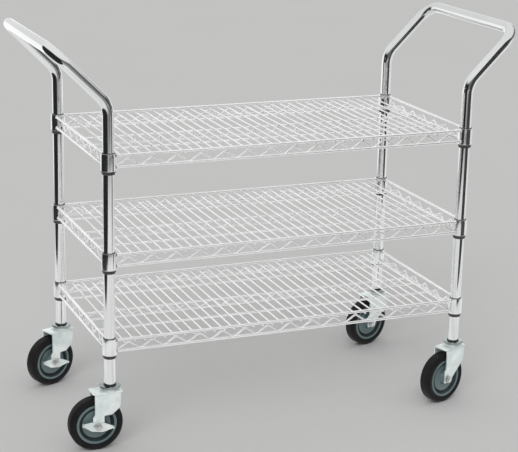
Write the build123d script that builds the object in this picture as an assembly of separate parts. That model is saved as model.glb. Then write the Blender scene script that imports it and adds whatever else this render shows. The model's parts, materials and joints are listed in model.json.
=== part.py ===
"""Three-shelf chrome wire utility cart on four swivel casters.

Millimetres, +Z up, +X along the cart, origin on the floor midway between the four posts.
Each end is one bent tube that makes two posts and the push handle between them.
"""
import os
from math import atan2, cos, sqrt

from build123d import *

os.makedirs("parts", exist_ok=True)

# Post tubes and handles
post_span_x = 881.0
post_span_y = 424.0
tube_diameter = 25.4
tube_wall = 1.6
handle_bend_height = 793.5
handle_reach = 122.0
handle_rise = 122.0
lower_bend_radius = 60.0
upper_bend_radius = 45.0

# Shelf heights, to the centre of the top rim wire
bottom_shelf_height = 257.0
middle_shelf_height = 457.0
top_shelf_height = 682.0

# Shelf wires
rim_wire = 6.4
rim_offset = 6.0
truss_height = 26.0
deck_wire = 3.6
deck_pitch = 24.0
rib_wire = 5.0
stringer_offset = 117.0
snake_bar = 4.4
snake_pitch = 56.5

# Corner collars and the split sleeves that wedge them on the posts
sleeve_wall = 1.7
sleeve_taper = 1.3
sleeve_above = 4.0
sleeve_lip = 0.8
sleeve_lip_height = 4.0
sleeve_split = 1.0
collar_wall = 1.3
collar_above = 2.0
collar_skirt = 10.0
collar_shoulder = 1.0
collar_shoulder_drop = 3.0
fit_gap = 0.05

# Caster stems and swivels
stem_diameter = 11.0
stem_length = 40.0
socket_flange_lip = 1.8
socket_flange_height = 2.5
race_diameter = 50.0
race_thickness = 3.5
race_bevel = 1.5
washer_inset = 2.0
washer_play = 1.0
washer_thickness = 1.2
kingpin_diameter = 12.0
kingpin_head_lip = 3.0
kingpin_head_height = 4.0
swivel_gap = 0.3
running_gap = 0.08

# Caster forks
fork_plate = 3.0
fork_inner_bend = 3.0
fork_nose = 24.5
fork_tail = 45.5
fork_corner = 4.5
head_height = 5.7
head_top_diameter = 38.0
head_flare = 2.5
crown_clearance = 12.0
leg_shoulder_drop = 34.0
leg_shoulder_set_back = 2.0
leg_shoulder_round = 14.0
leg_pad_half = 15.5
leg_pad_drop = 9.5
leg_pad_round = 4.5
leg_pad_rise = 14.0
leg_pad_flare = 12.0
leg_neck_round = 9.0

# Wheels and axles
wheel_diameter = 125.0
tyre_width = 32.0
tyre_thickness = 15.5
tyre_shoulder = 5.5
tread_set_in = 5.0
core_set_in = 1.5
core_rim_width = 6.0
core_rim_slope = 3.5
core_web_thickness = 11.0
core_boss_slope = 4.5
core_boss_rise = 4.5
hub_stand = 2.0
hub_wall = 5.5
hub_slope = 4.0
hub_play = 1.0
bush_wall = 2.5
axle_diameter = 10.0
axle_hex = 16.0
axle_head_height = 6.0
axle_tail = 2.0
trail = 35.0

# Brake levers
brake_plate = 3.0
brake_tilt = -10.0
brake_half_length = 37.0
brake_waist = 13.0
brake_rise = 9.0
brake_drop = 13.0
brake_tip = 2.5
brake_round = 9.0
brake_tread_depth = 8.0

# Casters as they stand: swivel turn in degrees at each corner, and which have brakes
caster_angles = {"lf": 0.0, "lb": 20.0, "rf": 18.0, "rb": 16.0}
braked_casters = ("lf", "lb")

# Shelf values worked out from the sizes above
half_x = post_span_x / 2
half_y = post_span_y / 2
tube_radius = tube_diameter / 2
bore_top_radius = tube_radius + sleeve_wall
bore_bottom_radius = bore_top_radius + sleeve_taper
collar_radius = bore_bottom_radius + collar_wall
collar_below = truss_height + collar_skirt
rim_corner = rim_wire / sqrt(3)
rib_corner = rib_wire / sqrt(3)
snake_offset = rim_offset - rim_corner - snake_bar / 2
rim_reach = sqrt(collar_radius**2 - max(rim_offset - rim_corner, 0) ** 2)
shelf_heights = {
    "bottom": bottom_shelf_height,
    "middle": middle_shelf_height,
    "top": top_shelf_height,
}

# Caster values worked out from the sizes above, from the wheel up to the post
axle_height = wheel_diameter / 2
core_radius = axle_height - tyre_thickness
hub_half = tyre_width / 2 + hub_stand
leg_inner = hub_half + hub_play
leg_outer = leg_inner + fork_plate
bush_radius = axle_diameter / 2 + bush_wall
hub_radius = bush_radius + hub_wall
crown_bottom = wheel_diameter + crown_clearance
crown_top = crown_bottom + fork_plate
head_top = crown_top + head_height
washer_bottom = head_top + running_gap
race_bottom = washer_bottom + washer_thickness
race_top = race_bottom + race_thickness
post_bottom = race_top + socket_flange_height
corners = {
    "lf": (-half_x, -half_y),
    "lb": (-half_x, half_y),
    "rf": (half_x, -half_y),
    "rb": (half_x, half_y),
}


def save(shapes, name):
    """Write one node: a single solid, or a group of separate solids."""
    solids = shapes if isinstance(shapes, list) else [shapes]
    node = solids[0] if len(solids) == 1 else Compound(children=solids)
    export_step(node, f"parts/{name}.step")


def hexagon(across_flats):
    """A six-sided section with flats above and below."""
    return RegularPolygon(across_flats / 2, 6, major_radius=False)


def rounded(outline, radii):
    """Round the corners of a flat outline, each found by its place."""
    for corner, radius in radii.items():
        outline = fillet(outline.vertices().sort_by_distance(corner)[:1], radius)
    return outline


def wire_along_x(start, end, y, z, diameter):
    """A straight wire along X, with flats above and below where other wires rest on it."""
    section = Plane(origin=(start, y, z), x_dir=(0, 1, 0), z_dir=(1, 0, 0))
    return extrude(section * hexagon(diameter), end - start)


def wire_along_y(start, end, x, z, diameter):
    """A straight wire along Y, with flats above and below where other wires rest on it."""
    section = Plane(origin=(x, start, z), x_dir=(1, 0, 0), z_dir=(0, 1, 0))
    return extrude(section * hexagon(diameter), end - start)


def handle_post(side):
    """One end of the cart: two posts and the push handle bent from a single tube."""
    post_x = side * half_x
    bar_x = side * (half_x + handle_reach)
    bar_z = handle_bend_height + handle_rise
    path = FilletPolyline(
        (post_x, -half_y, post_bottom),
        (post_x, -half_y, handle_bend_height),
        (bar_x, -half_y, bar_z),
        (bar_x, half_y, bar_z),
        (post_x, half_y, handle_bend_height),
        (post_x, half_y, post_bottom),
        radius=[lower_bend_radius, upper_bend_radius, upper_bend_radius, lower_bend_radius],
    )
    ring = Circle(tube_radius) - Circle(tube_radius - tube_wall)
    return sweep(Plane(origin=(post_x, -half_y, post_bottom)) * ring, path)


def collar(x, y, height):
    """The tapered ring welded at a shelf corner; its bore widens downwards."""
    top = height + collar_above
    bottom = height - collar_below
    profile = Polyline(
        (bore_top_radius, top),
        (collar_radius - collar_shoulder, top),
        (collar_radius, top - collar_shoulder_drop),
        (collar_radius, bottom),
        (bore_bottom_radius, bottom),
        close=True,
    )
    return Pos(x, y, 0) * revolve(Plane.XZ * make_face(profile), Axis.Z)


def sleeve_half(x, y, height, turn):
    """Half of the split plastic sleeve that wedges the collar on its post."""
    top = height + collar_above + sleeve_above
    seat = height - collar_below
    slope = sleeve_taper / (collar_above + collar_below)
    inner = tube_radius + fit_gap
    lip = bore_bottom_radius + sleeve_lip
    profile = Polyline(
        (inner, top),
        (bore_top_radius - fit_gap - slope * sleeve_above, top),
        (bore_bottom_radius - fit_gap, seat),
        (lip, seat),
        (lip, seat - sleeve_lip_height),
        (inner, seat - sleeve_lip_height),
        close=True,
    )
    ring = revolve(Plane.XZ * make_face(profile), Axis.Z)
    half_space = Box(4 * lip, 2 * lip, 3 * top, align=(Align.CENTER, Align.MIN, Align.CENTER))
    half = ring & Pos(0, sleeve_split / 2, 0) * half_space
    return Pos(x, y, 0) * Rot(0, 0, turn) * half


def deck_underside(height):
    return height - rim_wire / 2 - deck_wire


def zigzag(length, height):
    """The snake wire of a truss in side view: an odd number of waves with a peak at the middle.

    Its troughs lie beside the bottom wire and its peaks touch the underside of the deck wires.
    """
    waves = 2 * round((length / snake_pitch - 1) / 2) + 1
    step = length / waves / 2
    low = height - truss_height
    slope = atan2(deck_underside(height) - low, step)
    half_band = snake_bar / 2 / cos(slope)
    high = deck_underside(height) - half_band
    points = [(-length / 2 + i * step, high if i % 2 else low) for i in range(2 * waves + 1)]
    upper = [(x, z + half_band) for x, z in points]
    lower = [(x, z - half_band) for x, z in reversed(points)]
    return make_face(Polyline(*upper, *lower, close=True))


def snake_along_x(length, y, height):
    band = Plane(origin=(0, y + snake_bar / 2, 0), x_dir=(1, 0, 0), z_dir=(0, -1, 0))
    return extrude(band * zigzag(length, height), snake_bar)


def snake_along_y(length, x, height):
    band = Plane(origin=(x - snake_bar / 2, 0, 0), x_dir=(0, 1, 0), z_dir=(1, 0, 0))
    return extrude(band * zigzag(length, height), snake_bar)


def rim_wires(height):
    """Top and bottom wires of the four edge trusses, each ending on a collar."""
    wires = []
    for z in (height, height - truss_height):
        for side in (-1, 1):
            reach_x = half_x - rim_reach
            reach_y = half_y - rim_reach
            wires.append(wire_along_x(-reach_x, reach_x, side * (half_y + rim_offset), z, rim_wire))
            wires.append(wire_along_y(-reach_y, reach_y, side * (half_x + rim_offset), z, rim_wire))
    return wires


def edge_snakes(height):
    """Snake wires inside the four edge trusses."""
    snakes = []
    for side in (-1, 1):
        length_x = post_span_x - 2 * collar_radius
        length_y = post_span_y - 2 * collar_radius
        snakes.append(snake_along_x(length_x, side * (half_y + snake_offset), height))
        snakes.append(snake_along_y(length_y, side * (half_x + snake_offset), height))
    return snakes


def deck_wires(height):
    """Surface wires across the shelf, welded under the front and back rim wires."""
    z = height - rim_wire / 2 - deck_wire / 2
    end = half_y + rim_offset + rim_wire / 2
    each_side = int((half_x - collar_radius - deck_wire) / deck_pitch)
    places = range(-each_side, each_side + 1)
    return [wire_along_y(-end, end, i * deck_pitch, z, deck_wire) for i in places]


def centre_rib(height):
    """The truss under the middle of the deck and the two stringers beside it."""
    top = deck_underside(height) - rib_wire / 2
    inner_face = half_x + snake_offset - snake_bar / 2
    rim_face = half_x + rim_offset - rim_corner
    pieces = [
        wire_along_x(-inner_face, inner_face, 0, top, rib_wire),
        wire_along_x(-rim_face, rim_face, 0, height - truss_height, rib_wire),
        snake_along_x(2 * inner_face, rib_corner + snake_bar / 2, height),
    ]
    for side in (-1, 1):
        pieces.append(wire_along_x(-inner_face, inner_face, side * stringer_offset, top, rib_wire))
    return pieces


def stem_socket():
    """The insert that fills a post's open end and grips the caster stem."""
    bore = stem_diameter / 2 + fit_gap
    plug = tube_radius - tube_wall - fit_gap
    flange = tube_radius + socket_flange_lip
    profile = Polyline(
        (bore, race_top),
        (flange, race_top),
        (flange, post_bottom),
        (plug, post_bottom),
        (plug, race_top + stem_length),
        (bore, race_top + stem_length),
        close=True,
    )
    return revolve(Plane.XZ * make_face(profile), Axis.Z)


def caster_stem():
    """Stem, upper race and kingpin of a caster, which stay still while the fork swivels."""
    rivet_top = head_top - fork_plate - swivel_gap
    rivet = kingpin_diameter / 2 + kingpin_head_lip
    profile = Polyline(
        (0, rivet_top - kingpin_head_height),
        (rivet, rivet_top - kingpin_head_height),
        (rivet, rivet_top),
        (kingpin_diameter / 2, rivet_top),
        (kingpin_diameter / 2, race_bottom),
        (race_diameter / 2, race_bottom),
        (race_diameter / 2, race_top - race_bevel),
        (race_diameter / 2 - race_bevel, race_top),
        (stem_diameter / 2, race_top),
        (stem_diameter / 2, race_top + stem_length),
        (0, race_top + stem_length),
        close=True,
    )
    return revolve(Plane.XZ * make_face(profile), Axis.Z)


def swivel_washer():
    """Thrust washer under the upper race; the fork head turns against it."""
    ring = Circle(head_top_diameter / 2 - washer_inset) - Circle(kingpin_diameter / 2 + washer_play)
    return extrude(Pos(0, 0, washer_bottom) * ring, washer_thickness)


def fork_channel():
    """The bent strip of the fork, seen along X: a crown with a leg turned down at each side."""
    foot = axle_height - leg_pad_drop
    outer_height = crown_top - foot
    inner_height = crown_bottom - foot
    outer = Pos(0, foot + outer_height / 2) * Rectangle(2 * leg_outer, outer_height)
    inner = Pos(0, foot + inner_height / 2) * Rectangle(2 * leg_inner, inner_height)
    outer = fillet(outer.vertices().group_by(Axis.Y)[-1], fork_inner_bend + fork_plate)
    inner = fillet(inner.vertices().group_by(Axis.Y)[-1], fork_inner_bend)
    section = Plane(origin=(-fork_tail, 0, 0), x_dir=(0, 1, 0), z_dir=(1, 0, 0))
    return extrude(section * (outer - inner), fork_tail + fork_nose)


def fork_side_outline():
    """Side view: long crown, upright trailing edge, raked leading edge and a rounded axle pad."""
    leg_back = -fork_tail + fork_corner
    leg_front = fork_nose - fork_corner
    pad_back = -trail - leg_pad_half
    pad_front = -trail + leg_pad_half
    pad_bottom = axle_height - leg_pad_drop
    shoulder = (leg_front - leg_shoulder_set_back, crown_bottom - leg_shoulder_drop)
    neck_front = (pad_front, axle_height)
    neck_back = (pad_back, axle_height + leg_pad_rise)
    outline = make_face(
        Polyline(
            (fork_nose, crown_top),
            (-fork_tail, crown_top),
            (-fork_tail, crown_bottom),
            (leg_back, crown_bottom),
            (leg_back, axle_height + leg_pad_rise + leg_pad_flare),
            neck_back,
            (pad_back, pad_bottom),
            (pad_front, pad_bottom),
            neck_front,
            shoulder,
            (leg_front, crown_bottom),
            (fork_nose, crown_bottom),
            close=True,
        )
    )
    neck_round = min(leg_neck_round, leg_pad_drop)
    pad_round = min(leg_pad_round, leg_pad_drop / 2)
    radii = {
        shoulder: leg_shoulder_round,
        neck_front: neck_round,
        neck_back: neck_round,
        (pad_front, pad_bottom): pad_round,
        (pad_back, pad_bottom): pad_round,
    }
    return rounded(outline, radii)


def fork_head():
    """The drawn dome of the crown that carries the kingpin and the washer."""
    bore = kingpin_diameter / 2 + running_gap
    shoulder = head_top_diameter / 2
    base = shoulder + head_flare
    under = head_top - fork_plate
    profile = Polyline(
        (bore, head_top),
        (shoulder, head_top),
        (base, crown_top),
        (base, crown_bottom),
        (base - fork_plate, crown_bottom),
        (shoulder - fork_plate, under),
        (bore, under),
        close=True,
    )
    return revolve(Plane.XZ * make_face(profile), Axis.Z)


def fork():
    """Pressed steel fork: a bent channel cut to its outlines, with a drawn swivel head."""
    side = fork_side_outline() - Pos(-trail, axle_height) * Circle(axle_diameter / 2 + fit_gap)
    length = fork_tail + fork_nose
    middle = (fork_nose - fork_tail) / 2
    plan = Pos(middle, 0) * Rectangle(length, 2 * leg_outer)
    plan = fillet(plan.vertices(), fork_corner)
    bend_start = crown_bottom - fork_inner_bend
    crown_space = extrude(Pos(0, 0, bend_start) * plan, crown_top - bend_start)
    leg_space = extrude(Pos(middle, 0) * Rectangle(2 * length, 4 * leg_outer), bend_start)
    body = fork_channel() & extrude(Plane.XZ * side, leg_outer, both=True)
    body &= crown_space + leg_space
    opening = head_top_diameter / 2 + head_flare - fork_plate
    body -= Pos(0, 0, crown_top) * Cylinder(opening, 4 * fork_plate)
    return body + fork_head()


def on_axle(shape):
    """Turn a shape modelled about Z so that it lies on the wheel axle, its +Z end at the front."""
    return Pos(-trail, 0, axle_height) * Rot(90, 0, 0) * shape


def nut_seat(braked):
    return leg_outer + (brake_plate + 2 * swivel_gap if braked else 0)


def axle_bolt(braked):
    """Axle bolt with its head at the back leg and its thread end past the front nut."""
    length = leg_outer + nut_seat(braked) + axle_head_height + axle_tail
    head = extrude(hexagon(axle_hex), axle_head_height)
    shank = extrude(Circle(axle_diameter / 2), length)
    return on_axle(Pos(0, 0, -leg_outer) * (Pos(0, 0, -axle_head_height) * head + shank))


def axle_nut(braked):
    section = hexagon(axle_hex) - Circle(axle_diameter / 2 + fit_gap)
    return on_axle(Pos(0, 0, nut_seat(braked)) * extrude(section, axle_head_height))


def wheel_bush():
    """Spacer tube between the fork legs; the wheel turns on it."""
    ring = Circle(bush_radius) - Circle(axle_diameter / 2 + fit_gap)
    return on_axle(Pos(0, 0, -leg_inner) * extrude(ring, 2 * leg_inner))


def wheel_core():
    """Moulded wheel centre: a hub on a raised boss, and a groove between the boss and the rim."""
    rim_face = tyre_width / 2 - core_set_in
    boss_face = core_web_thickness / 2 + core_boss_rise
    groove_radius = core_radius - core_rim_width - core_rim_slope
    near = [
        (bush_radius + running_gap, hub_half),
        (hub_radius, hub_half),
        (hub_radius + hub_slope, boss_face),
        (groove_radius - core_boss_slope, boss_face),
        (groove_radius, core_web_thickness / 2),
        (core_radius - core_rim_width, rim_face),
        (core_radius, rim_face),
    ]
    far = [(r, -y) for r, y in reversed(near)]
    return on_axle(revolve(Plane.XZ * make_face(Polyline(*near, *far, close=True)), Axis.Z))


def tyre():
    """Solid tyre bonded on the core, with raked shoulders and a flat tread."""
    side_face = tyre_width / 2
    near = [
        (core_radius + fit_gap, side_face - core_set_in),
        (axle_height - tyre_shoulder, side_face),
        (axle_height, side_face - tread_set_in),
    ]
    far = [(r, -y) for r, y in reversed(near)]
    return on_axle(revolve(Plane.XZ * make_face(Polyline(*near, *far, close=True)), Axis.Z))


def brake_lever():
    """Two-ended foot lever that rocks on the axle, with a turned-out tread at each tip."""
    plate = make_face(
        Polyline(
            (brake_half_length, brake_tip),
            (brake_waist, brake_rise),
            (-brake_waist, brake_rise),
            (-brake_half_length, brake_tip),
            (-brake_half_length, -brake_tip),
            (-brake_waist, -brake_drop),
            (brake_waist, -brake_drop),
            (brake_half_length, -brake_tip),
            close=True,
        )
    )
    waists = [(side * brake_waist, edge) for side in (-1, 1) for edge in (brake_rise, -brake_drop)]
    plate = rounded(plate, {waist: brake_round for waist in waists})
    plate -= Circle(axle_diameter / 2 + running_gap)
    lever = extrude(plate, brake_plate)
    for side in (-1, 1):
        tip = Pos(side * (brake_half_length - brake_plate / 2), 0, brake_tread_depth / 2)
        lever += tip * Box(brake_plate, 2 * brake_tip, brake_tread_depth)
    return on_axle(Pos(0, 0, leg_outer + swivel_gap) * Rot(0, 0, brake_tilt) * lever)


# Handles and shelves
save(handle_post(-1), "handle_post_left")
save(handle_post(1), "handle_post_right")
for shelf, level in shelf_heights.items():
    save([collar(x, y, level) for x, y in corners.values()], f"{shelf}_collars")
    halves = [sleeve_half(x, y, level, turn) for x, y in corners.values() for turn in (0, 180)]
    save(halves, f"{shelf}_sleeves")
    save(rim_wires(level), f"{shelf}_rim_wires")
    save(edge_snakes(level), f"{shelf}_snake_wires")
    save(centre_rib(level), f"{shelf}_centre_rib")
    save(deck_wires(level), f"{shelf}_deck_wires")

# What stays still at the foot of each post
feet = [Pos(x, y, 0) for x, y in corners.values()]
save([foot * stem_socket() for foot in feet], "stem_sockets")
save([foot * caster_stem() for foot in feet], "caster_stems")
save([foot * swivel_washer() for foot in feet], "swivel_washers")

# Casters, each turned as it stands
for corner, angle in caster_angles.items():
    place = Pos(*corners[corner], 0) * Rot(0, 0, angle)
    braked = corner in braked_casters
    save(place * fork(), f"fork_{corner}")
    save(place * axle_bolt(braked), f"axle_bolt_{corner}")
    save(place * axle_nut(braked), f"axle_nut_{corner}")
    save(place * wheel_bush(), f"wheel_bush_{corner}")
    save(place * wheel_core(), f"wheel_core_{corner}")
    save(place * tyre(), f"tyre_{corner}")
    if braked:
        save(place * brake_lever(), f"brake_lever_{corner}")
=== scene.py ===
# %% [markdown]
# A wire utility cart on four swivel casters, dressed for a studio picture.
# The imported CAD model comes in first as a fixed frame. It says where each piece sits and how it moves.
# Everything after that is looks, so the CAD box is kept here.

import json
from math import atan2, cos, pi, radians, sqrt, tan

import bmesh
import bpy
from mathutils import Matrix, Vector


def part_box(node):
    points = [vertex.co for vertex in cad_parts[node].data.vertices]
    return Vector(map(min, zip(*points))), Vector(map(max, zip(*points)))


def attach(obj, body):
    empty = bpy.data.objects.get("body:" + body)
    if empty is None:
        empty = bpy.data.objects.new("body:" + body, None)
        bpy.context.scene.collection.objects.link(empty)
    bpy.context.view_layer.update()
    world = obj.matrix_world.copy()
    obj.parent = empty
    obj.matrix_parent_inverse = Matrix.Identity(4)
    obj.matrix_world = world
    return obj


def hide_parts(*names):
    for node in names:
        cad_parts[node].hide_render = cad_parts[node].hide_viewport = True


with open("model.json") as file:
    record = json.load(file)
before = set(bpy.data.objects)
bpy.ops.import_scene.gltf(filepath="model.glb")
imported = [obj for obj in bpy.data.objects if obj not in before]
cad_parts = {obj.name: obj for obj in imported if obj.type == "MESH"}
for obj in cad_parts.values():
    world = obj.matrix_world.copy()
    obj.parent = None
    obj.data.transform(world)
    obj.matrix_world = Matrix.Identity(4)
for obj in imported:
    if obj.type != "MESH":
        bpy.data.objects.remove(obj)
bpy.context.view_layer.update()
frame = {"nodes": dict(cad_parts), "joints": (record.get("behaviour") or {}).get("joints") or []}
joints = {joint["name"]: joint for joint in frame["joints"]}

# %% [markdown]
# The picture was taken from the left of the long side, from above the handles, with a long lens.
# A camera can be aimed by eye, but here its place was worked out from the posts, handles and wheels.
# The small roll is in the picture too: the cart leans very slightly to one side.

# %% Camera
photo_width = 518
focal_length_pixels = 1511
sensor_width_mm = 36.0
camera_place = Vector((-1.3487, -3.2745, 1.4530))
camera_aim = Vector((-0.0046, -0.0184, 0.4303))
camera_roll = radians(1.27)

camera_data = bpy.data.cameras.new("picture_camera")
camera_data.sensor_width = sensor_width_mm
camera_data.lens = sensor_width_mm * focal_length_pixels / photo_width
camera = bpy.data.objects.new("picture_camera", camera_data)
level_view = (camera_aim - camera_place).to_track_quat("-Z", "Y").to_matrix().to_4x4()
camera.matrix_world = Matrix.Translation(camera_place) @ level_view @ Matrix.Rotation(camera_roll, 4, "Z")
bpy.context.scene.collection.objects.link(camera)
bpy.context.scene.camera = camera
print("lens", round(camera_data.lens, 1), "mm")

# %% [markdown]
# Every finish starts from the same shader and differs in what drives it.
# Each could be painted as a picture, but a noise pattern needs no unwrapping and suits a piece of any size.
# The pattern is fixed to the object, so that it stays on the piece when the piece moves.

# %% Helpers for a finish
def shader_of(finish):
    """The main shader of a finish."""
    return finish.node_tree.nodes["Principled BSDF"]


def new_finish(name, metallic, roughness, colour):
    """A material with its main values set on the shader itself."""
    finish = bpy.data.materials.new(name)
    finish.use_nodes = True
    shader = shader_of(finish)
    shader.inputs["Metallic"].default_value = metallic
    shader.inputs["Roughness"].default_value = roughness
    shader.inputs["Base Color"].default_value = (*colour, 1)
    return finish


def noise_on(finish, scale, detail, stretch=(1, 1, 1)):
    """A noise pattern in the object's own coordinates, with scale in waves to the metre."""
    nodes, links = finish.node_tree.nodes, finish.node_tree.links
    place = nodes.new("ShaderNodeTexCoord")
    mapping = nodes.new("ShaderNodeMapping")
    mapping.inputs["Scale"].default_value = stretch
    noise = nodes.new("ShaderNodeTexNoise")
    noise.inputs["Scale"].default_value = scale
    noise.inputs["Detail"].default_value = detail
    links.new(place.outputs["Object"], mapping.inputs["Vector"])
    links.new(mapping.outputs["Vector"], noise.inputs["Vector"])
    return noise.outputs["Fac"]


# %% [markdown]
# No real surface is quite even, and a single value all over looks drawn rather than made.
# So roughness, colour and height each follow a noise pattern of their own, spread over a narrow range.
# Noise mostly stays between 0.3 and 0.7, so the two tones of a colour are put at those values.

# %% Helpers for uneven finishes
noise_low = 0.3
noise_high = 0.7


def spread(finish, pattern, low, high, start=0, end=1):
    """The values of a pattern between start and end, moved to a range from low to high."""
    spreader = finish.node_tree.nodes.new("ShaderNodeMapRange")
    spreader.inputs["From Min"].default_value = start
    spreader.inputs["From Max"].default_value = end
    spreader.inputs["To Min"].default_value = low
    spreader.inputs["To Max"].default_value = high
    finish.node_tree.links.new(pattern, spreader.inputs["Value"])
    return spreader.outputs["Result"]


def vary_roughness(finish, low, high, scale, detail, stretch=(1, 1, 1)):
    """Let a noise pattern move the roughness between two values."""
    pattern = noise_on(finish, scale, detail, stretch)
    finish.node_tree.links.new(spread(finish, pattern, low, high), shader_of(finish).inputs["Roughness"])


def vary_colour(finish, dark, pale, scale, detail):
    """Let a noise pattern move the colour between a darker and a paler tone."""
    nodes, links = finish.node_tree.nodes, finish.node_tree.links
    ramp = nodes.new("ShaderNodeValToRGB")
    for stop, position, colour in zip(ramp.color_ramp.elements, (noise_low, noise_high), (dark, pale)):
        stop.position = position
        stop.color = (*colour, 1)
    links.new(noise_on(finish, scale, detail), ramp.inputs["Fac"])
    links.new(ramp.outputs["Color"], shader_of(finish).inputs["Base Color"])


def add_bump(finish, strength, depth, scale, detail, stretch=(1, 1, 1)):
    """Raise a noise pattern into a fine surface texture, with depth in metres."""
    nodes, links = finish.node_tree.nodes, finish.node_tree.links
    bump = nodes.new("ShaderNodeBump")
    bump.inputs["Strength"].default_value = strength
    bump.inputs["Distance"].default_value = depth
    links.new(noise_on(finish, scale, detail, stretch), bump.inputs["Height"])
    links.new(bump.outputs["Normal"], shader_of(finish).inputs["Normal"])


# %% [markdown]
# The tubes, collars and wires are bright chrome plate over steel.
# Chrome has hardly any colour of its own, so its look comes from a low roughness and from what it mirrors.
# A perfect mirror would do, but plate is never perfect, so each one gets slow changes of gloss and tone.
# Wires are drawn and welded before plating, so they are duller. A tube's pattern is drawn out along a post.

# %% Chrome finishes
tube_chrome = new_finish("tube_chrome", metallic=1.0, roughness=0.08, colour=(0.78, 0.79, 0.79))
vary_roughness(tube_chrome, low=0.05, high=0.13, scale=9, detail=3, stretch=(1, 1, 0.3))
vary_colour(tube_chrome, dark=(0.74, 0.75, 0.75), pale=(0.82, 0.83, 0.83), scale=5, detail=2)
add_bump(tube_chrome, strength=0.05, depth=0.0003, scale=160, detail=1, stretch=(1, 1, 0.2))

wire_chrome = new_finish("wire_chrome", metallic=0.65, roughness=0.22, colour=(0.93, 0.93, 0.93))
vary_roughness(wire_chrome, low=0.18, high=0.30, scale=22, detail=3)
vary_colour(wire_chrome, dark=(0.88, 0.88, 0.88), pale=(0.96, 0.96, 0.96), scale=14, detail=2)
add_bump(wire_chrome, strength=0.06, depth=0.0003, scale=300, detail=2)

collar_chrome = new_finish("collar_chrome", metallic=1.0, roughness=0.14, colour=(0.82, 0.83, 0.83))
vary_roughness(collar_chrome, low=0.09, high=0.22, scale=40, detail=3)
vary_colour(collar_chrome, dark=(0.74, 0.75, 0.75), pale=(0.86, 0.87, 0.87), scale=30, detail=2)
add_bump(collar_chrome, strength=0.10, depth=0.0004, scale=120, detail=2)
print("chrome finishes", tube_chrome.name, wire_chrome.name, collar_chrome.name)

# %% [markdown]
# The steel of the casters has a pale bluish zinc plate, which is softer and cloudier than chrome.
# The turned races are polished, so they mirror more of the room.
# Bolts and nuts have a darker and greyer plate than the forks that they clamp.
# Wear could be masked along the edges too, but these casters look new, so clouds in the plate are enough.

# %% Steel finishes
zinc_plate = new_finish("zinc_plate", metallic=0.45, roughness=0.36, colour=(0.80, 0.86, 0.85))
vary_roughness(zinc_plate, low=0.28, high=0.45, scale=60, detail=4)
vary_colour(zinc_plate, dark=(0.64, 0.73, 0.71), pale=(0.88, 0.93, 0.92), scale=35, detail=4)
add_bump(zinc_plate, strength=0.10, depth=0.0003, scale=700, detail=3)

race_plate = new_finish("race_plate", metallic=1.0, roughness=0.15, colour=(0.33, 0.38, 0.37))
vary_roughness(race_plate, low=0.10, high=0.20, scale=60, detail=4)
vary_colour(race_plate, dark=(0.26, 0.31, 0.30), pale=(0.40, 0.45, 0.44), scale=35, detail=4)
add_bump(race_plate, strength=0.08, depth=0.0003, scale=500, detail=2)

bolt_steel = new_finish("bolt_steel", metallic=0.9, roughness=0.34, colour=(0.58, 0.59, 0.58))
vary_roughness(bolt_steel, low=0.28, high=0.44, scale=90, detail=3)
vary_colour(bolt_steel, dark=(0.50, 0.51, 0.50), pale=(0.66, 0.67, 0.66), scale=80, detail=3)
add_bump(bolt_steel, strength=0.08, depth=0.0003, scale=700, detail=2)
print("steel finishes", zinc_plate.name, race_plate.name, bolt_steel.name)

# %% [markdown]
# The wheel cores are glossy slate plastic. The groove round the boss gets a darker, duller finish, which is
# painted shade: deeper shade than the soft light makes there.
# The tyres are matt black rubber, and dust makes their colour uneven. The sleeves are a plain black plastic.
# A dark colour alone would look like a hole, so each gets a roughness of its own and the grain of its mould.

# %% Plastic and rubber finishes
tyre_gloss = 0.2

core_plastic = new_finish("core_plastic", metallic=0.0, roughness=0.30, colour=(0.105, 0.155, 0.160))
vary_roughness(core_plastic, low=0.24, high=0.38, scale=90, detail=3)
vary_colour(core_plastic, dark=(0.085, 0.130, 0.135), pale=(0.125, 0.178, 0.183), scale=25, detail=4)
add_bump(core_plastic, strength=0.08, depth=0.0003, scale=900, detail=2)

# Painted shade: the groove's faces get this darker colour, for shade deeper than the light makes in the
# groove.
core_painted_shade = new_finish("core_painted_shade", metallic=0.0, roughness=0.40, colour=(0.026, 0.038, 0.041))
vary_roughness(core_painted_shade, low=0.34, high=0.48, scale=90, detail=3)
vary_colour(core_painted_shade, dark=(0.020, 0.029, 0.032), pale=(0.034, 0.047, 0.050), scale=25, detail=4)
add_bump(core_painted_shade, strength=0.10, depth=0.0003, scale=900, detail=2)

tyre_rubber = new_finish("tyre_rubber", metallic=0.0, roughness=0.62, colour=(0.008, 0.008, 0.009))
shader_of(tyre_rubber).inputs["Specular IOR Level"].default_value = tyre_gloss
vary_roughness(tyre_rubber, low=0.52, high=0.75, scale=70, detail=4)
vary_colour(tyre_rubber, dark=(0.005, 0.005, 0.006), pale=(0.012, 0.012, 0.012), scale=40, detail=5)
add_bump(tyre_rubber, strength=0.20, depth=0.0004, scale=800, detail=3)

sleeve_black = new_finish("sleeve_black", metallic=0.0, roughness=0.45, colour=(0.030, 0.030, 0.032))
vary_roughness(sleeve_black, low=0.38, high=0.58, scale=120, detail=3)
vary_colour(sleeve_black, dark=(0.022, 0.022, 0.024), pale=(0.045, 0.045, 0.047), scale=60, detail=3)
add_bump(sleeve_black, strength=0.12, depth=0.0003, scale=900, detail=2)
print("plastic and rubber", core_plastic.name, core_painted_shade.name, tyre_rubber.name, sleeve_black.name)

# %% [markdown]
# The cart stands on a pale painted floor.
# A bent backdrop could end the floor, but a sheet that is wide enough fills the picture from every side.
# Its paint has no gloss, so that the casters leave soft shadows on it and no mirror image.

# %% Floor
floor_width = 60


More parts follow.
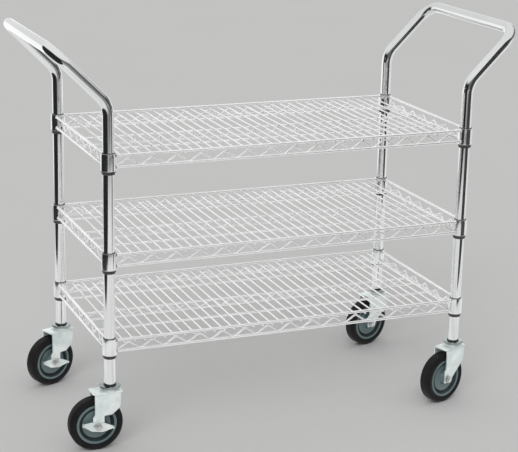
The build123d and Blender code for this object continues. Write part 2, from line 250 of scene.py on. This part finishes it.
def flat_sheet(name, size, matrix, finish):
    """A flat sheet for the stage."""
    bm = bmesh.new()
    bmesh.ops.create_grid(bm, x_segments=1, y_segments=1, size=0.5)
    bmesh.ops.transform(bm, matrix=matrix @ Matrix.Diagonal((*size, 1, 1)), verts=bm.verts)
    mesh = bpy.data.meshes.new(name)
    bm.to_mesh(mesh)
    bm.free()
    mesh.materials.append(finish)
    sheet = bpy.data.objects.new(name, mesh)
    bpy.context.scene.collection.objects.link(sheet)
    return sheet


floor_paint = new_finish("floor_paint", metallic=0.0, roughness=0.75, colour=(0.52, 0.52, 0.515))
vary_colour(floor_paint, dark=(0.516, 0.516, 0.511), pale=(0.524, 0.524, 0.519), scale=1.5, detail=3)
shader_of(floor_paint).inputs["Specular IOR Level"].default_value = 0
floor = flat_sheet("floor", (floor_width, floor_width), Matrix.Identity(4), floor_paint)
print(floor.name, floor_width, "m wide")

# %% [markdown]
# Chrome shows its surroundings, so these matter as much as the finish.
# Dark flags round the cart give the posts the dark stripes that make plating look bright.
# Pale cards behind it do the opposite, and make the wires and push bars gleam.
# More lamps could do this, but they would light the whole cart. Only reflections see these sheets,
# so they cast no light or shadow and can't stand in front of the cart in another view.

# %% Flags and cards
to_right = Vector((1, 0, 0))
to_back = Vector((0, 1, 0))
to_front = Vector((0, -1, 0))


def facing(place, aim):
    """A matrix at a place with its Z axis towards an aim."""
    return Matrix.Translation(place) @ (aim - place).to_track_quat("Z", "Y").to_matrix().to_4x4()


def cloth(name, colour):
    """A dull cloth for a flag."""
    finish = new_finish(name, metallic=0.0, roughness=0.9, colour=colour)
    vary_roughness(finish, low=0.85, high=0.95, scale=6, detail=2)
    return finish


def glowing(name, strength):
    """A pale card that gives off its own light."""
    finish = new_finish(name, metallic=0.0, roughness=0.9, colour=(0.02, 0.02, 0.02))
    shader_of(finish).inputs["Emission Color"].default_value = (1, 1, 1, 1)
    shader_of(finish).inputs["Emission Strength"].default_value = strength
    return finish


def mirrored_sheet(name, size, place, towards, finish):
    """A sheet round the cart that only reflections see."""
    middle = Vector(place)
    sheet = flat_sheet(name, size, facing(middle, middle + towards), finish)
    sheet.visible_camera = False
    sheet.visible_shadow = False
    sheet.visible_diffuse = False
    print(name, size, "m")


black_cloth = cloth("flag_cloth", colour=(0.012, 0.012, 0.013))
grey_cloth = cloth("grey_cloth", colour=(0.06, 0.06, 0.062))
wire_glow = glowing("wire_card", strength=1.1)
bar_glow = glowing("bar_card", strength=0.8)
mirrored_sheet("left_flag", size=(3.3, 1.5), place=(-1.4, -0.75, 0.75), towards=to_right, finish=black_cloth)
mirrored_sheet("front_flag", size=(1.3, 1.35), place=(1.0, -0.95, 0.725), towards=to_back, finish=grey_cloth)
mirrored_sheet("back_flag", size=(7.0, 1.1), place=(0.3, 3.0, 0.55), towards=to_front, finish=black_cloth)
mirrored_sheet("wire_card", size=(4.0, 0.85), place=(0.3, 1.3, 0.62), towards=to_front, finish=wire_glow)
mirrored_sheet("bar_card", size=(7.0, 2.0), place=(0.3, 3.0, 2.10), towards=to_front, finish=bar_glow)

# %% [markdown]
# The lower sides of the tubes mirror the floor in front of the cart.
# A lamp over the floor could brighten that, but it would spoil the shadows.
# So a card lies on the floor there, and again only reflections see it.
# It is bright near the cart and fades towards the camera. Slow clouds break up its stripe in the chrome.

# %% Floor card
fade_start = -3.4
fade_end = -2.0
faded_glow = 0.18
full_glow = 0.95
cloud_low = 0.70
cloud_high = 1.05
upward = Vector((0, 0, 1))

floor_glow = glowing("floor_glow", strength=full_glow)
glow_nodes, glow_links = floor_glow.node_tree.nodes, floor_glow.node_tree.links
glow_place = glow_nodes.new("ShaderNodeTexCoord")
glow_axes = glow_nodes.new("ShaderNodeSeparateXYZ")
glow_links.new(glow_place.outputs["Object"], glow_axes.inputs["Vector"])
fade = spread(floor_glow, glow_axes.outputs["Y"], faded_glow, full_glow, fade_start, fade_end)
glow_noise = noise_on(floor_glow, scale=2.5, detail=2)
clouds = spread(floor_glow, glow_noise, cloud_low, cloud_high, noise_low, noise_high)
clouded_fade = glow_nodes.new("ShaderNodeMath")
clouded_fade.operation = "MULTIPLY"
glow_links.new(fade, clouded_fade.inputs[0])
glow_links.new(clouds, clouded_fade.inputs[1])
glow_links.new(clouded_fade.outputs["Value"], shader_of(floor_glow).inputs["Emission Strength"])
mirrored_sheet("floor_card", size=(8.0, 9.0), place=(2.5, -3.2, 0.004), towards=upward, finish=floor_glow)

# %% [markdown]
# One soft key from the front left gives the cart its modelling and its shadows on the floor.
# An area lamp would be stronger at the near end. A sun with a wide angle is even along the whole cart.
# Reflections don't see it, because chrome would show it as a hot disc.

# %% Key light
key_strength = 1.4
key_softness = radians(40)
key_place = Vector((-2.2, -3.2, 2.8))

key_data = bpy.data.lights.new("key_light", "SUN")
key_data.energy = key_strength
key_data.angle = key_softness
key_light = bpy.data.objects.new("key_light", key_data)
key_light.matrix_world = facing(key_place, Vector()) @ Matrix.Rotation(pi, 4, "X")
key_light.visible_glossy = False
bpy.context.scene.collection.objects.link(key_light)
print(key_light.name, key_strength)

# %% [markdown]
# The rest of the light is the room: dim walls and a bright ceiling that lights all sides evenly.
# A picture of a studio could stand for the room, but then the chrome would show that studio.
# Here a ramp follows how steeply a direction looks up: dim below 17 degrees, bright from 30 degrees.

# %% Room light
wall_top = 0.30
wall_shade = (0.16, 0.16, 0.165)
ceiling_start = 0.50
ceiling_shade = (0.90, 0.90, 0.90)

world = bpy.data.worlds.new("studio_room")
bpy.context.scene.world = world
world.use_nodes = True
world_nodes, world_links = world.node_tree.nodes, world.node_tree.links
direction = world_nodes.new("ShaderNodeTexCoord")
height_of = world_nodes.new("ShaderNodeSeparateXYZ")
room_shade = world_nodes.new("ShaderNodeValToRGB")
wall_stop, ceiling_stop = room_shade.color_ramp.elements
wall_stop.position = wall_top
wall_stop.color = (*wall_shade, 1)
ceiling_stop.position = ceiling_start
ceiling_stop.color = (*ceiling_shade, 1)
world_links.new(direction.outputs["Generated"], height_of.inputs["Vector"])
world_links.new(height_of.outputs["Z"], room_shade.inputs["Fac"])
world_links.new(room_shade.outputs["Color"], world_nodes["Background"].inputs["Color"])
bpy.context.scene.view_settings.view_transform = "Standard"
print(world.name, "walls", wall_shade, "ceiling", ceiling_shade)

# %% [markdown]
# Tubes and wires are all round bars bent along a path.
# A curve with a bevel would do it, but a mesh drawn by operators keeps each run and bend exact:
# a ring of vertices is pulled straight along each run and spun round the centre of each bend.

# %% Rings of a round bar
def ring_edges(verts):
    """The edges that join vertices of one ring to each other."""
    ring = set(verts)
    return [edge for edge in {e for v in ring for e in v.link_edges} if set(edge.verts) <= ring]


def start_ring(bm, centre, heading, radius, sides):
    """The first ring of a bar, square to its heading."""
    square = Matrix.Translation(centre) @ heading.to_track_quat("Z", "Y").to_matrix().to_4x4()
    return ring_edges(bmesh.ops.create_circle(bm, segments=sides, radius=radius, matrix=square)["verts"])


def pull_ring(bm, edges, step, swell=1.0):
    """Draw the ring straight on, and swell or shrink its far end."""
    made = bmesh.ops.extrude_edge_only(bm, edges=edges)["geom"]
    verts = [item for item in made if isinstance(item, bmesh.types.BMVert)]
    bmesh.ops.translate(bm, verts=verts, vec=step)
    centre = sum((v.co for v in verts), Vector()) / len(verts)
    bmesh.ops.scale(bm, vec=(swell, swell, swell), space=Matrix.Translation(-centre), verts=verts)
    return ring_edges(verts)


def turn_ring(bm, edges, centre, axis, angle, steps):
    """Spin the ring round the centre of a bend."""
    verts = list({v for edge in edges for v in edge.verts})
    made = bmesh.ops.spin(bm, geom=verts + edges, cent=centre, axis=axis, angle=angle, steps=steps)
    return ring_edges([item for item in made["geom_last"] if isinstance(item, bmesh.types.BMVert)])


# %% [markdown]
# A bent bar is a chain of these moves. Its path could be a long list of points along the bar.
# A drawing for a tube bender is shorter: it gives the corners, and a radius for the bend at each of them.
# The radius says how far before the corner the straight run ends.

# %% Bent bars
def bent_bar(bm, corners, bends, radius, sides, steps):
    """A round bar along straight runs, with each inner corner rounded to its bend radius."""
    headings = [(b - a).normalized() for a, b in zip(corners, corners[1:])]
    edges = start_ring(bm, corners[0], headings[0], radius, sides)
    here = corners[0]
    for corner, before, after, bend in zip(corners[1:], headings, headings[1:], bends):
        angle = before.angle(after)
        setback = bend * tan(angle / 2)
        bend_start = corner - before * setback
        edges = pull_ring(bm, edges, bend_start - here)
        axis = before.cross(after).normalized()
        edges = turn_ring(bm, edges, bend_start + axis.cross(before) * bend, axis, angle, steps)
        here = corner + after * setback
    pull_ring(bm, edges, corners[-1] - here)


# %% [markdown]
# A finished mesh gets closed ends, outward faces and soft shading that stops at real edges.
# Then it is seated: it rides on a body of the frame, takes a finish slot and stands in for its CAD node.
# The object could be moved to its place, but it stays at the origin with its place in its mesh,
# so that a pattern on the object's own coordinates doesn't slide.

# %% Seat a piece
crease = radians(40)


def finished_piece(name, bm, finish, body, nodes):
    """Turn a bmesh into a piece at the origin that rides on a body and replaces its nodes."""
    bmesh.ops.holes_fill(bm, edges=bm.edges, sides=0)
    bmesh.ops.recalc_face_normals(bm, faces=bm.faces)
    for face in bm.faces:
        face.smooth = True
    for edge in bm.edges:
        edge.smooth = edge.calc_face_angle(0) < crease
    mesh = bpy.data.meshes.new(name)
    bm.to_mesh(mesh)
    bm.free()
    mesh.materials.append(finish)
    piece = bpy.data.objects.new(name, mesh)
    bpy.context.scene.collection.objects.link(piece)
    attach(piece, body)
    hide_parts(*nodes)
    print(name, len(mesh.polygons), "faces")
    return piece


# %% [markdown]
# Each end of the cart is one tube: up a post, out at 45 degrees, across as the push bar, and down again.
# Posts and bar could be separate cylinders, but the real tube has no joint, and neither has one bent bar.
# The frame gives the posts' places and the tube's reach, so only the tube and its bends need sizes.

# %% End frames
tube_radius = 0.0127
lower_bend = 0.060
upper_bend = 0.045
tube_sides = 40
bend_steps = 12
post_places = {
    name.split("_")[1]: Vector(joint["pos_m"])
    for name, joint in joints.items()
    if name.startswith("swivel")
}


def end_frame(side, front, back):
    """The bent tube between a front and a back post."""
    low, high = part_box(f"handle_post_{side}")
    bar_x = low.x + tube_radius if side == "left" else high.x - tube_radius
    bar_z = high.z - tube_radius
    bend_z = bar_z - abs(bar_x - front.x)
    corners = [
        Vector((front.x, front.y, low.z)),
        Vector((front.x, front.y, bend_z)),
        Vector((bar_x, front.y, bar_z)),
        Vector((bar_x, back.y, bar_z)),
        Vector((back.x, back.y, bend_z)),
        Vector((back.x, back.y, low.z)),
    ]
    bm = bmesh.new()
    bends = (lower_bend, upper_bend, upper_bend, lower_bend)
    bent_bar(bm, corners, bends, tube_radius, tube_sides, bend_steps)
    finished_piece(f"end_frame_{side}", bm, tube_chrome, "cart", [f"handle_post_{side}"])


end_frame("left", post_places["lf"], post_places["lb"])
end_frame("right", post_places["rf"], post_places["rb"])

# %% [markdown]
# A shelf is welded up from round wire. Its four edge trusses have a top and a bottom wire and a snake wire.
# Deck wires cross under the top wires, and a centre truss and two stringers carry them from below.
# The CAD wires have flats so that they meet cleanly. They could stay, but real wire is round,
# and its highlight is a fine line, so each is drawn again. Where the wires lie is read from the frame.

# %% Shelf wire sizes
rim_wire = 0.0064
rib_wire = 0.0050
deck_wire = 0.0036
snake_wire = 0.0047
weld_sink = 0.0003
thick_wire_sides = 12
thin_wire_sides = 10
shelves = ("bottom", "middle", "top")


def shelf_measures(shelf):
    """Where a shelf's rim wires, deck and collars lie, read from the frame."""
    rim_low, rim_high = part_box(f"{shelf}_rim_wires")
    collar_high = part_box(f"{shelf}_collars")[1]
    hexagon_reach = rim_wire / sqrt(3)
    post = post_places["rb"]
    return {
        "edge_x": rim_high.x - hexagon_reach,
        "edge_y": rim_high.y - hexagon_reach,
        "top": rim_high.z - rim_wire / 2,
        "bottom": rim_low.z + rim_wire / 2,
        "deck": rim_high.z - rim_wire - deck_wire / 2,
        "collar_x": post.x - (collar_high.x - post.x),
        "collar_y": post.y - (collar_high.y - post.y),
    }


for shelf in shelves:
    print(shelf, {name: round(value, 4) for name, value in shelf_measures(shelf).items()})

# %% [markdown]
# The rim wires are the top and bottom wires of the edge trusses, and end in the side of a collar.
# Plain cylinders would meet the collar with a hard line.
# A weld leaves a bead, so these bars swell at both ends.

# %% Rim wires
rim_bead = 1.35
collar_sink = rim_wire / 4


def welded_bar(bm, start, end, radius, sides, bead):
    """A straight bar whose ends swell into a weld bead, given as a multiple of the radius."""
    heading = (end - start).normalized()
    edges = start_ring(bm, start, heading, radius * bead, sides)
    edges = pull_ring(bm, edges, heading * radius, 1 / bead)
    edges = pull_ring(bm, edges, end - start - heading * 2 * radius)
    pull_ring(bm, edges, heading * radius, bead)


def rim_wires(shelf):
    """The top and bottom wires of the four edge trusses, each welded to a collar at both ends."""
    size = shelf_measures(shelf)
    reach_x = size["collar_x"] + collar_sink
    reach_y = size["collar_y"] + collar_sink
    bm = bmesh.new()
    for z in (size["top"], size["bottom"]):
        for side in (-1, 1):
            x = side * size["edge_x"]
            y = side * size["edge_y"]
            long_ends = Vector((-reach_x, y, z)), Vector((reach_x, y, z))
            short_ends = Vector((x, -reach_y, z)), Vector((x, reach_y, z))
            welded_bar(bm, *long_ends, rim_wire / 2, thick_wire_sides, rim_bead)
            welded_bar(bm, *short_ends, rim_wire / 2, thick_wire_sides, rim_bead)
    finished_piece(f"{shelf}_rim", bm, wire_chrome, "cart", [f"{shelf}_rim_wires"])


for shelf in shelves:
    rim_wires(shelf)

# %% [markdown]
# A snake wire is one wire bent to and fro, and it makes a truss of the two rim wires that it is welded to.
# A sine curve comes close, but the real wire has straight runs with small bends, so it is a bent bar.
# The waves are as many as fit the truss, with a peak at the middle. The corners of the path lie a little
# further out than the wire, so that its rounded bends reach the rim wires.

# %% Snake wires
snake_pitch = 0.0565
snake_bend = 0.0085
snake_steps = 5


def snake(bm, half_length, low, high, place):
    """A wire bent in waves from one end of a truss to the other, with a peak at the middle."""
    waves = 2 * round((2 * half_length / snake_pitch - 1) / 2) + 1
    step = half_length / waves
    slope = atan2(high - low, step)
    lift = snake_bend * (1 / cos(slope) - 1)
    heights = (low - lift, high + lift)
    corners = [place(-half_length + i * step, heights[i % 2]) for i in range(2 * waves + 1)]
    corners[0] = place(-half_length, low)
    corners[-1] = place(half_length, low)
    bent_bar(bm, corners, [snake_bend] * len(corners), snake_wire / 2, thin_wire_sides, snake_steps)


def snake_peak(shelf):
    """The height of a snake wire's upper bends, just under the deck wires."""
    return shelf_measures(shelf)["deck"] - deck_wire / 2 - snake_wire / 2


def snake_wires(shelf):
    """Snake wires just inside the rim wires of the four edge trusses."""
    size = shelf_measures(shelf)
    inset = rim_wire / 2 + snake_wire / 2 - weld_sink
    low, high = size["bottom"], snake_peak(shelf)
    bm = bmesh.new()
    for side in (-1, 1):
        x = side * (size["edge_x"] - inset)
        y = side * (size["edge_y"] - inset)
        snake(bm, size["collar_x"], low, high, lambda run, z: Vector((run, y, z)))
        snake(bm, size["collar_y"], low, high, lambda run, z: Vector((x, run, z)))
    finished_piece(f"{shelf}_snakes", bm, wire_chrome, "cart", [f"{shelf}_snake_wires"])


for shelf in shelves:
    snake_wires(shelf)

# %% [markdown]
# The deck is a row of thin straight wires across the shelf, their ends under the long rim wires.
# An array modifier could repeat one wire. A loop does the same and leaves one finished mesh.
# There are over a hundred of them, so each has only a few faces.

# %% Deck wires
deck_pitch = 0.024


def deck_wires(shelf):
    """Surface wires across the shelf, their ends under the long rim wires."""
    low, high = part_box(f"{shelf}_deck_wires")
    z = shelf_measures(shelf)["deck"]
    each_side = round((high.x - low.x) / 2 / deck_pitch)
    across = Matrix.Rotation(pi / 2, 4, "X")
    bm = bmesh.new()
    for i in range(-each_side, each_side + 1):
        bmesh.ops.create_cone(
            bm, cap_ends=True, segments=thin_wire_sides, radius1=deck_wire / 2, radius2=deck_wire / 2,
            depth=high.y - low.y, matrix=Matrix.Translation((i * deck_pitch, 0, z)) @ across,
        )
    finished_piece(f"{shelf}_deck", bm, wire_chrome, "cart", [f"{shelf}_deck_wires"])


for shelf in shelves:
    deck_wires(shelf)

# %% [markdown]
# Under the middle of the deck runs one more truss, and on each side of it a stringer.
# New helpers could draw them, but they are made like the edge trusses, so the same two helpers do.
# Their beads are smaller, because their wire is thinner.

# %% Centre truss
rib_bead = 1.2


def centre_rib(shelf):
    """The truss under the middle of the deck and a stringer on each side of it."""
    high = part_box(f"{shelf}_centre_rib")[1]
    size = shelf_measures(shelf)
    top = high.z - rib_wire / 2
    reach = size["edge_x"] - rim_wire / 2
    stringer = high.y - rib_wire / sqrt(3)
    bm = bmesh.new()
    for y, z in ((0, top), (0, size["bottom"]), (stringer, top), (-stringer, top)):
        ends = Vector((-reach, y, z)), Vector((reach, y, z))
        welded_bar(bm, *ends, rib_wire / 2, thick_wire_sides, rib_bead)
    beside = rib_wire / 2 + snake_wire / 2 - weld_sink
    low, peak = size["bottom"], snake_peak(shelf)
    snake(bm, reach - snake_wire, low, peak, lambda run, z: Vector((run, beside, z)))
    finished_piece(f"{shelf}_rib", bm, wire_chrome, "cart", [f"{shelf}_centre_rib"])


for shelf in shelves:
    centre_rib(shelf)

# %% [markdown]
# Collars, sleeves, cores and tyres are turned shapes: half a section, spun round an axis.
# A cylinder with its edges moved would give some of them, but a section shows every step of a shape at once.
# Sharp rings are then bevelled, because a moulded or pressed edge has a small radius that catches the light.

# %% Helpers for turned pieces
full_turn = 2 * pi
ring_angle = radians(20)
ring_segments = 3


def round_edges(bm, edges, radius, angle, segments):
    """Round the edges that are sharper than an angle."""
    sharp = [edge for edge in edges if edge.calc_face_angle(0) > angle]
    bmesh.ops.bevel(
        bm, geom=sharp, offset=radius, offset_type="OFFSET", segments=segments, profile=0.5,
        affect="EDGES", clamp_overlap=True, material=-1,
    )


def turned(bm, section, place, steps, edge_radius, turn=full_turn):
    """Spin a closed half section of (radius, height) round, soften its rings and put it in place."""
    others = set(bm.verts)
    corners = [bm.verts.new((radius, 0, height)) for radius, height in section]
    edges = [bm.edges.new(pair) for pair in zip(corners, corners[1:] + corners[:1])]
    bmesh.ops.spin(
        bm, geom=corners + edges, cent=(0, 0, 0), axis=(0, 0, 1), angle=turn, steps=steps,
        use_merge=turn == full_turn,
    )
    made = [edge for edge in bm.edges if edge.verts[0] not in others]
    round_edges(bm, made, edge_radius, ring_angle, ring_segments)
    bmesh.ops.transform(bm, matrix=place, verts=[vert for vert in bm.verts if vert not in others])


# %% [markdown]
# A collar is a short steel ring welded into each shelf corner. It wedges on a split sleeve round the post.
# A bevelled cylinder would look stiff, because the real ring draws in a little towards its top.
# Two rings close to the ends of the wall hold its shading, so that the small bevels don't bend it.

# %% Collars
collar_bore = 0.0144
collar_shoulder = 0.0008
collar_shoulder_drop = 0.0090
collar_hold = 0.0012
collar_edge = 0.0006
sleeve_above = 0.0010
lip_rise = 0.0022
turn_steps = 48


def collar_measures(shelf):
    """A collar's radius and the heights of its lower and upper end."""
    low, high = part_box(f"{shelf}_collars")
    sleeve_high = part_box(f"{shelf}_sleeves")[1]
    return high.x - post_places["rb"].x, low.z + lip_rise, sleeve_high.z - sleeve_above


def collars(shelf):
    """The four corner rings of a shelf."""
    radius, bottom, top = collar_measures(shelf)
    held_shoulder = collar_shoulder * (1 - collar_hold / collar_shoulder_drop)
    section = [
        (collar_bore, top),
        (radius - collar_shoulder, top),
        (radius - held_shoulder, top - collar_hold),
        (radius, top - collar_shoulder_drop),
        (radius, bottom + collar_hold),
        (radius, bottom),
        (collar_bore, bottom),
    ]
    bm = bmesh.new()
    for post in post_places.values():
        turned(bm, section, Matrix.Translation((post.x, post.y, 0)), turn_steps, collar_edge)
    finished_piece(f"{shelf}_collar_rings", bm, collar_chrome, "cart", [f"{shelf}_collars"])


for shelf in shelves:
    collars(shelf)

# %% [markdown]
# A sleeve is two plastic half shells that snap round a post and wedge in the collar.
# Only its ends show: a thin line above the collar and a dark tapered lip below it.
# A whole ring would hide the split, so each half is a turned shape that is spun just under half round.

# %% Sleeves
sleeve_gap = 0.0001
sleeve_split = radians(3.5)
sleeve_edge = 0.0003
lip_drop = 0.0022
lip_set_in = 0.0005
lip_taper = 0.0026


def sleeves(shelf):
    """The split sleeves in the collars of a shelf, two halves round each post."""
    sleeve_low, sleeve_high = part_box(f"{shelf}_sleeves")
    collar_radius, lip_top = collar_measures(shelf)[:2]
    lip_bottom = sleeve_low.z - lip_drop
    lip_radius = collar_radius - lip_set_in
    section = [
        (tube_radius + sleeve_gap, sleeve_high.z),
        (collar_bore - sleeve_gap, sleeve_high.z),
        (collar_bore - sleeve_gap, lip_top),
        (lip_radius, lip_top),
        (lip_radius - lip_taper, lip_bottom),
        (tube_radius + sleeve_gap, lip_bottom),
    ]
    bm = bmesh.new()
    for post in post_places.values():
        for start in (sleeve_split / 2, pi + sleeve_split / 2):
            place = Matrix.Translation((post.x, post.y, 0)) @ Matrix.Rotation(start, 4, "Z")
            turned(bm, section, place, turn_steps // 2, sleeve_edge, pi - sleeve_split)
    nodes = [f"{shelf}_sleeves"]
    finished_piece(f"{shelf}_sleeve_halves", bm, sleeve_black, "cart", nodes)


for shelf in shelves:
    sleeves(shelf)

# %% [markdown]
# A wheel is a moulded plastic core with a solid tyre round it, and both turn on the axle.
# Their places could be typed in, but the frame's joints already say where each axle lies and how it points.
# So a turned shape is made upright at the origin, and one matrix lays it on its axle.

# %% Wheel axles
casters = tuple(post_places)


def axle_place(corner):
    """The matrix that lays a turned shape on the axle of a caster."""
    joint = joints[f"wheel_{corner}_roll"]
    upright_to_axle = Vector(joint["axis"]).to_track_quat("Z", "Y").to_matrix().to_4x4()
    return Matrix.Translation(joint["pos_m"]) @ upright_to_axle


def tyre_radius(corner):
    """The radius of a wheel's tread."""
    low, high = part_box(f"tyre_{corner}")
    return (high.z - low.z) / 2


for corner in casters:
    axle = [round(value, 4) for value in axle_place(corner).translation]
    print(corner, "axle", axle, "radius", round(tyre_radius(corner), 4))

# %% [markdown]
# The tyre is solid rubber with flat sides, raked shoulders and a flat tread.
# A torus would do for a soft tyre, but this one has corners, so it is turned from a section.
# Only half of the section is written down. The other half is mirrored, so that both sides are alike.

# %% Tyres
tyre_width = 0.032
tyre_thickness = 0.0155
tyre_shoulder = 0.0055
tyre_edge = 0.0022
tread_set_in = 0.005
core_set_in = 0.0015
wheel_steps = 64


def mirrored(section):
    """A section with its other half added below the middle plane."""
    return section + [(radius, -height) for radius, height in reversed(section)]


def tyre(corner):
    """The solid tyre of a wheel."""
    radius = tyre_radius(corner)
    half = [
        (radius - tyre_thickness, tyre_width / 2 - core_set_in),
        (radius - tyre_shoulder, tyre_width / 2),
        (radius, tyre_width / 2 - tread_set_in),
    ]
    bm = bmesh.new()
    turned(bm, mirrored(half), axle_place(corner), wheel_steps, tyre_edge)
    finished_piece(f"tread_{corner}", bm, tyre_rubber, f"wheel_{corner}", [f"tyre_{corner}"])


for corner in casters:
    tyre(corner)

# %% [markdown]
# The core has a rim ring, a groove, a raised boss and a hub that nearly touches the fork.
# A flat disc with a bump map would look flat from the side, so every step is in the section.
# The faces of the groove get a darker finish of painted shade, picked out by their distance from the axle.

# %% Wheel cores
core_rim_width = 0.006
core_rim_slope = 0.0035
core_web = 0.011
core_boss_slope = 0.0045
core_boss_rise = 0.0045
core_edge = 0.0010
hub_half = 0.018
hub_radius = 0.013
hub_slope = 0.004
bush_radius = 0.0076


def wheel_core(corner):
    """The moulded centre of a wheel: a hub on a raised boss, a groove and a rim ring."""
    radius = tyre_radius(corner) - tyre_thickness
    rim_face = tyre_width / 2 - core_set_in
    rim_inner = radius - core_rim_width
    groove_radius = rim_inner - core_rim_slope
    boss_face = core_web / 2 + core_boss_rise
    boss_radius = groove_radius - core_boss_slope
    half = [
        (bush_radius, hub_half),
        (hub_radius, hub_half),
        (hub_radius + hub_slope, boss_face),
        (boss_radius, boss_face),
        (groove_radius, core_web / 2),
        (rim_inner, rim_face),
        (radius, rim_face),
    ]
    bm = bmesh.new()
    turned(bm, mirrored(half), axle_place(corner), wheel_steps, core_edge)
    from_axle = axle_place(corner).inverted()
    # Faces in the groove take the second slot, the painted shade.
    for face in bm.faces:
        reach = (from_axle @ face.calc_center_median()).to_2d().length
        face.material_index = int(boss_radius < reach < rim_inner)
    nodes = [f"wheel_core_{corner}"]
    core = finished_piece(f"core_{corner}", bm, core_plastic, f"wheel_{corner}", nodes)
    core.data.materials.append(core_painted_shade)


for corner in casters:
    wheel_core(corner)

# %% [markdown]
# The steel of the casters has the right shape in the CAD, but its edges are knife sharp.
# It could be modelled again, but a copy is quicker and stays true: it is merged from loose triangles
# into clean faces, and then every sharp edge is rounded a little.
# The races on the stems come first. They are turned and polished, and don't swivel with the forks.

# %% Swivel races
merge_distance = 0.000002
flat_angle = radians(0.5)
pressed_angle = radians(35)
pressed_segments = 2
turned_steel_edge = 0.0004


def merged(node):
    """A copy of a CAD piece, merged from loose triangles into clean faces."""
    bm = bmesh.new()
    bm.from_mesh(frame["nodes"][node].data)
    bmesh.ops.remove_doubles(bm, verts=bm.verts, dist=merge_distance)
    bmesh.ops.dissolve_limit(bm, angle_limit=flat_angle, verts=bm.verts, edges=bm.edges)
    return bm


def softened(bm, edge_radius, finish, name, body, node):
    """A merged piece with its sharp edges rounded."""
    round_edges(bm, bm.edges, edge_radius, pressed_angle, pressed_segments)
    finished_piece(name, bm, finish, body, [node])


softened(merged("caster_stems"), turned_steel_edge, race_plate, "swivel_races", "cart", "caster_stems")

# %% [markdown]
# The leg of a fork is raked from the crown down to a pad round the axle.
# On the two casters with a brake it also has a notch just above the lever.
# A cutter could take the notch out of the leg. Here the raked edge is divided instead,
# and its points are laid along the outline of the notch, which leaves clean faces for the bevel.

# %% Notch above a brake lever
raked_run = 0.025
pad_half = 0.0155
pad_rise = 0.008
notch_top = 0.0230
notch_reach = 0.0335
notch_round = 0.0040
notch_steps = 4


def eased(before, corner, after):
    """Points that lead round a corner."""
    start = corner + (before - corner).normalized() * notch_round
    end = corner + (after - corner).normalized() * notch_round
    parts = [step / notch_steps for step in range(notch_steps + 1)]
    return [start.lerp(corner, part).lerp(corner.lerp(end, part), part) for part in parts]


def is_raked(edge):
    """Whether an edge, seen along the axle, runs far both forwards and down."""
    run = edge.verts[0].co - edge.verts[1].co
    return min(abs(run.x), abs(run.y)) > raked_run


def notch_legs(bm, corner):
    """Lay the raked edges of a fork's legs round a notch between the leg and the axle pad."""
    place = axle_place(corner)
    bmesh.ops.transform(bm, matrix=place.inverted(), verts=bm.verts)
    raked = [edge for edge in bm.edges if is_raked(edge)]
    foot, shoulder = sorted((vert.co.to_2d() for vert in raked[0].verts), key=lambda point: point.y)
    leg_end = Vector((-notch_reach, notch_top))
    inner_corner = Vector((-pad_half, notch_top))
    pad_top = Vector((-pad_half, pad_rise))
    path = eased(shoulder, leg_end, inner_corner) + eased(leg_end, inner_corner, pad_top)
    step = (shoulder.y - foot.y) / (len(path) + 1)
    made = bmesh.ops.subdivide_edges(bm, edges=raked, cuts=len(path))["geom_inner"]
    for vert in (item for item in made if isinstance(item, bmesh.types.BMVert)):
        vert.co.xy = path[round((shoulder.y - vert.co.y) / step) - 1]
    for vert in bm.verts:
        if vert.co.y < pad_rise:
            vert.co.x = max(vert.co.x, -pad_half)
    bmesh.ops.transform(bm, matrix=place, verts=bm.verts)
    print("notched", corner, "edges", len(raked), "points", len(path))


# %% [markdown]
# A fork is pressed from one plate: a crown with a drawn head for the kingpin, and a leg beside the wheel
# on each side. It could be drawn again from its outlines, but the CAD plate needs only softer edges
# and the notch, so a copy of it is used.

# %% Forks
fork_edge = 0.0007
braked = ("lf", "lb")

for corner in casters:
    fork = merged(f"fork_{corner}")
    if corner in braked:
        notch_legs(fork, corner)
    softened(fork, fork_edge, zinc_plate, f"fork_shell_{corner}", f"swivel_{corner}", f"fork_{corner}")

# %% [markdown]
# A bolt through the fork carries each wheel, with its nut on the side that the picture shows.
# A thread could be cut into the bolt, but only a short end shows past the nut.
# So softened copies do here too.

# %% Bolts and nuts
for corner in casters:
    for node, name in ((f"axle_bolt_{corner}", f"axle_{corner}"), (f"axle_nut_{corner}", f"nut_{corner}")):
        softened(merged(node), turned_steel_edge, bolt_steel, name, f"swivel_{corner}", node)

# %% [markdown]
# The brake levers are stamped plates that rock on the axle, with a small tread turned out at each tip.
# They could be part of the forks, but then they couldn't move when a foot presses them down.
# So each is a softened copy of its own, and rides on a body of its own.

# %% Brake levers
lever_edge = 0.0006

for corner in braked:
    node = f"brake_lever_{corner}"
    softened(merged(node), lever_edge, zinc_plate, f"brake_{corner}", f"brake_{corner}", node)

# %% [markdown]
# A few CAD pieces hardly show: the inserts in the posts' ends, the washers in the swivels and the bushes.
# New meshes would add nothing here, so these pieces stay as they are and only get a finish.

# %% CAD pieces that stay
def paint(node, finish):
    """Give a CAD piece that stays in view its finish."""
    for slot in frame["nodes"][node].material_slots:
        slot.material = finish
    print(node, finish.name)


paint("stem_sockets", sleeve_black)
paint("swivel_washers", sleeve_black)
for corner in casters:
    paint(f"wheel_bush_{corner}", zinc_plate)
